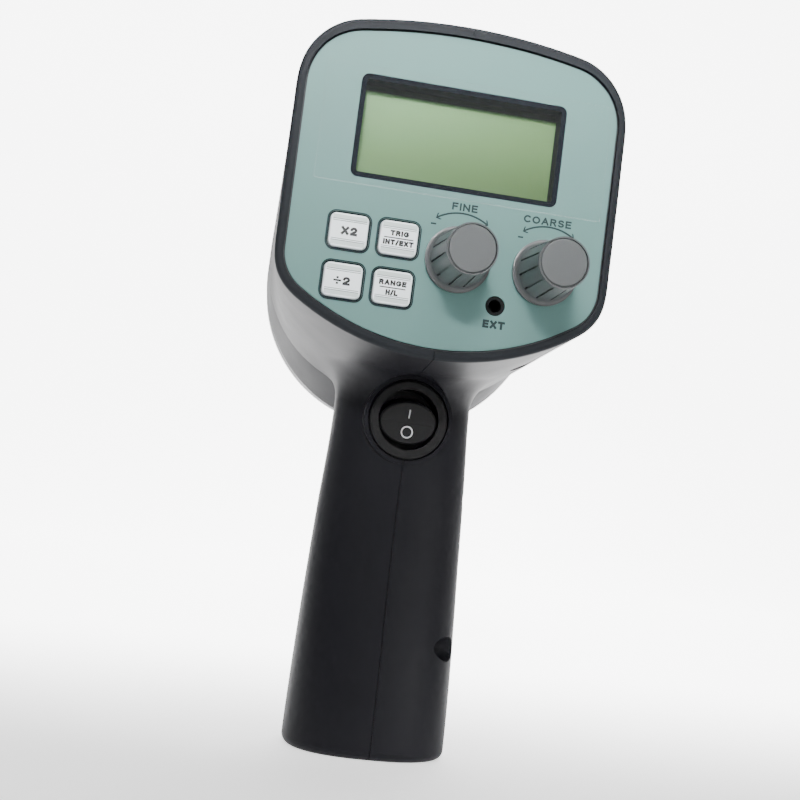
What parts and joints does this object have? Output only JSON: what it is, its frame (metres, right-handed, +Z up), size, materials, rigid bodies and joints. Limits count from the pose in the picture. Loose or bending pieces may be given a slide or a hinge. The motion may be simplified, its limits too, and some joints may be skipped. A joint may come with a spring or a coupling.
{
  "type": "handheld xenon stroboscope",
  "caption": "Handheld xenon stroboscope: gun-shaped casing with round lamp hood, angled panel with display, keys and knobs, and a handle with a rocker switch and mains inlet",
  "frame": {"origin": "on the standing surface under the foot, centred on the overall width and on the depth from knob tips to lamp front", "axes": "+Z up along the handle, the control panel faces -Y, the lamp shines along +Y, +X is to the right as the user reads the panel"},
  "size_m": [0.0944, 0.12, 0.2099],
  "materials": {
    "casing_plastic": "semi-gloss, fine moulded texture",
    "hood_plastic": "semi-gloss",
    "overlay_print": "satin printed film",
    "plate_plastic": "matte",
    "bezel_plastic": "satin",
    "clear_plastic": "clear, polished",
    "film_plastic": "clear, thin",
    "display_cell": "grey-green liquid crystal cell",
    "holder_plastic": "matte",
    "board_laminate": "satin solder mask",
    "key_plastic": "satin",
    "switch_plastic": "satin",
    "knob_plastic": "satin",
    "steel": "zinc plated",
    "nickel": "nickel plated",
    "brass": "machined",
    "lens_plastic": "clear, polished",
    "gasket_rubber": "matte",
    "bright_aluminium": "spun, bright",
    "tube_glass": "clear quartz",
    "ceramic": "unglazed",
    "component_black": "moulded",
    "component_blue": "sleeved",
    "fuse_glass": "clear with metal ends",
    "core_steel": "laminated",
    "winding_tape": "wound and taped"
  },
  "bodies": {
    "casing": {"right_shell": "casing_plastic", "left_shell": "casing_plastic", "lamp_hood": "hood_plastic", "housing_screws": "steel", "threaded_inserts": "brass", "panel_overlay": "overlay_print", "panel_plate": "plate_plastic", "display_bezel": "bezel_plastic", "display_window": "clear_plastic", "display_film": "film_plastic", "display_glass": "display_cell", "display_holder": "holder_plastic", "main_board": "board_laminate", "board_screws": "steel", "board_spacers": "brass", "power_board": "board_laminate", "storage_capacitor": "component_blue", "trigger_coil": "winding_tape", "bridge_rectifier": "component_black", "power_resistor": "ceramic", "fuse": "fuse_glass", "tact_switches": "component_black", "fine_pot": "nickel", "coarse_pot": "nickel", "pot_washers": "steel", "pot_nuts": "nickel", "ext_jack": "component_black", "switch_housing": "switch_plastic", "switch_terminals": "brass", "lamp_board_screws": "steel", "lens_gasket": "gasket_rubber", "lens": "lens_plastic", "lens_ring": "hood_plastic", "lamp_board": "board_laminate", "tube_holder": "ceramic", "reflector": "bright_aluminium", "flash_tube": "tube_glass", "tube_electrodes": "steel", "trigger_wire": "nickel", "transformer_core": "core_steel", "transformer_winding": "winding_tape", "mains_inlet": "component_black", "inlet_pins": "nickel"},
    "fine_dial": {"fine_knob": "knob_plastic", "fine_cap": "knob_plastic", "fine_shaft": "nickel"},
    "coarse_dial": {"coarse_knob": "knob_plastic", "coarse_cap": "knob_plastic", "coarse_shaft": "nickel"},
    "double_key": {"key_double": "key_plastic"},
    "trigger_key": {"key_trigger": "key_plastic"},
    "halve_key": {"key_halve": "key_plastic"},
    "range_key": {"key_range": "key_plastic"},
    "power_rocker": {"rocker": "switch_plastic"}
  },
  "joints": [
    {"name": "fine_turn", "type": "hinge", "parent": "casing", "child": "fine_dial", "pos_m": [0.0033, -0.05, 0.1443], "axis": [0, 1, 0], "range_deg": [-150, 150]},
    {"name": "coarse_turn", "type": "hinge", "parent": "casing", "child": "coarse_dial", "pos_m": [0.0282, -0.05, 0.1443], "axis": [0, 1, 0], "range_deg": [-150, 150]},
    {"name": "double_press", "type": "slide", "parent": "casing", "child": "double_key", "axis": [0, 1, 0], "range_m": [0, 0.0005], "stiffness_N_per_m": 800, "springref_m": -0.0005},
    {"name": "trigger_press", "type": "slide", "parent": "casing", "child": "trigger_key", "axis": [0, 1, 0], "range_m": [0, 0.0005], "stiffness_N_per_m": 800, "springref_m": -0.0005},
    {"name": "halve_press", "type": "slide", "parent": "casing", "child": "halve_key", "axis": [0, 1, 0], "range_m": [0, 0.0005], "stiffness_N_per_m": 800, "springref_m": -0.0005},
    {"name": "range_press", "type": "slide", "parent": "casing", "child": "range_key", "axis": [0, 1, 0], "range_m": [0, 0.0005], "stiffness_N_per_m": 800, "springref_m": -0.0005},
    {"name": "rocker_tilt", "type": "hinge", "parent": "casing", "child": "power_rocker", "pos_m": [0, -0.005, 0.1], "axis": [-1, 0, 0], "range_deg": [0, 24]}
  ]
}
